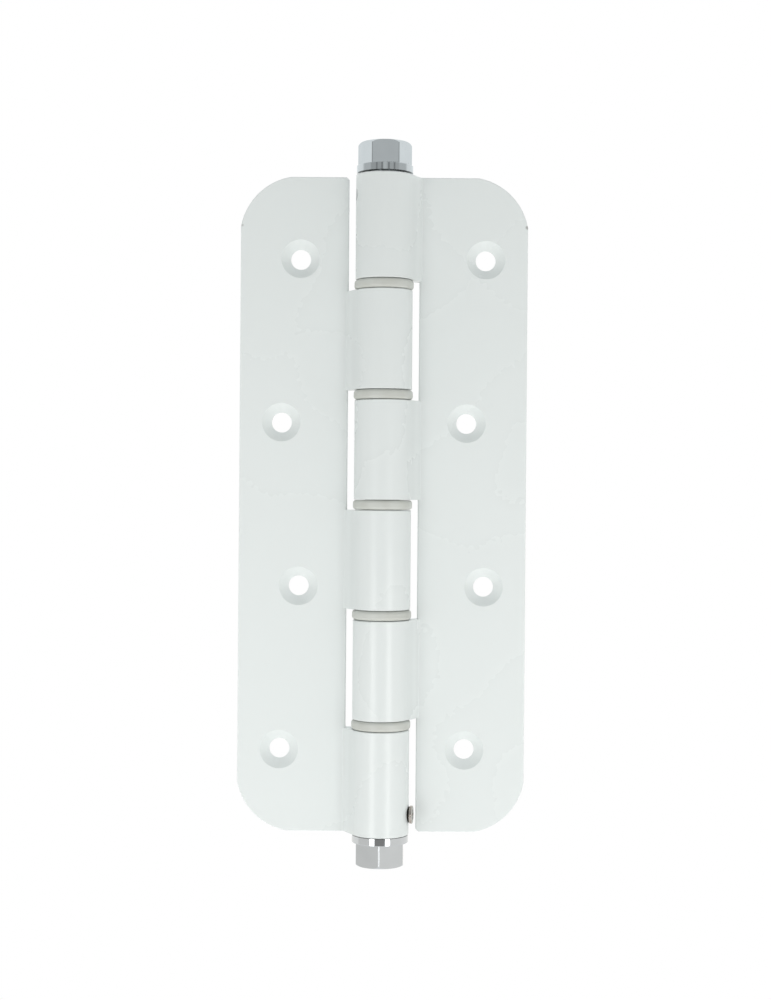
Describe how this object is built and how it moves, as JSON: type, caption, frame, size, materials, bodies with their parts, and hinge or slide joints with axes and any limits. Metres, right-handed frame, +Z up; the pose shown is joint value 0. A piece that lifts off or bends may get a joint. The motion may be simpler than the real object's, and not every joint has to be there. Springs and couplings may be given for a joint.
{
  "type": "single-action spring hinge",
  "caption": "Flat spring hinge with two countersunk leaves on a knuckle barrel, closed by a torsion spring that a hexagon cap tightens.",
  "frame": {"origin": "on the hinge axis, at half the height of the leaves", "axes": "+Z up the hinge axis towards the fixed cap, -Y out of the countersunk faces, +X towards the moving leaf with the hinge lying open flat"},
  "size_m": [0.079, 0.0162, 0.1972],
  "materials": {
    "white_coating": "gloss",
    "chrome_cap": "polished",
    "nylon": "satin",
    "spring_steel": "oiled",
    "rod_steel": "ground",
    "screw_steel": "nickel plated, worn"
  },
  "bodies": {
    "fixed_leaf": {"left_leaf": "white_coating", "bearing_bush_1": "nylon", "bearing_bush_2": "nylon", "bearing_bush_3": "nylon", "bearing_bush_4": "nylon", "bearing_bush_5": "nylon", "lock_screw": "screw_steel", "guide_rod": "rod_steel", "torsion_spring": "spring_steel"},
    "moving_leaf": {"right_leaf": "white_coating", "top_cap": "chrome_cap", "top_set_screw": "screw_steel"},
    "tension_cap": {"bottom_cap": "chrome_cap"}
  },
  "joints": [
    {"name": "leaf_swing", "type": "hinge", "parent": "fixed_leaf", "child": "moving_leaf", "pos_m": [0, 0, 0], "axis": [0, 0, -1], "range_deg": [0, 180], "stiffness_Nm_per_rad": 0.3, "deforming": ["torsion_spring"]},
    {"name": "tension_adjust", "type": "hinge", "parent": "fixed_leaf", "child": "tension_cap", "pos_m": [0, 0, 0], "axis": [0, 0, 1], "range_deg": [0, 360], "deforming": ["torsion_spring"]}
  ]
}
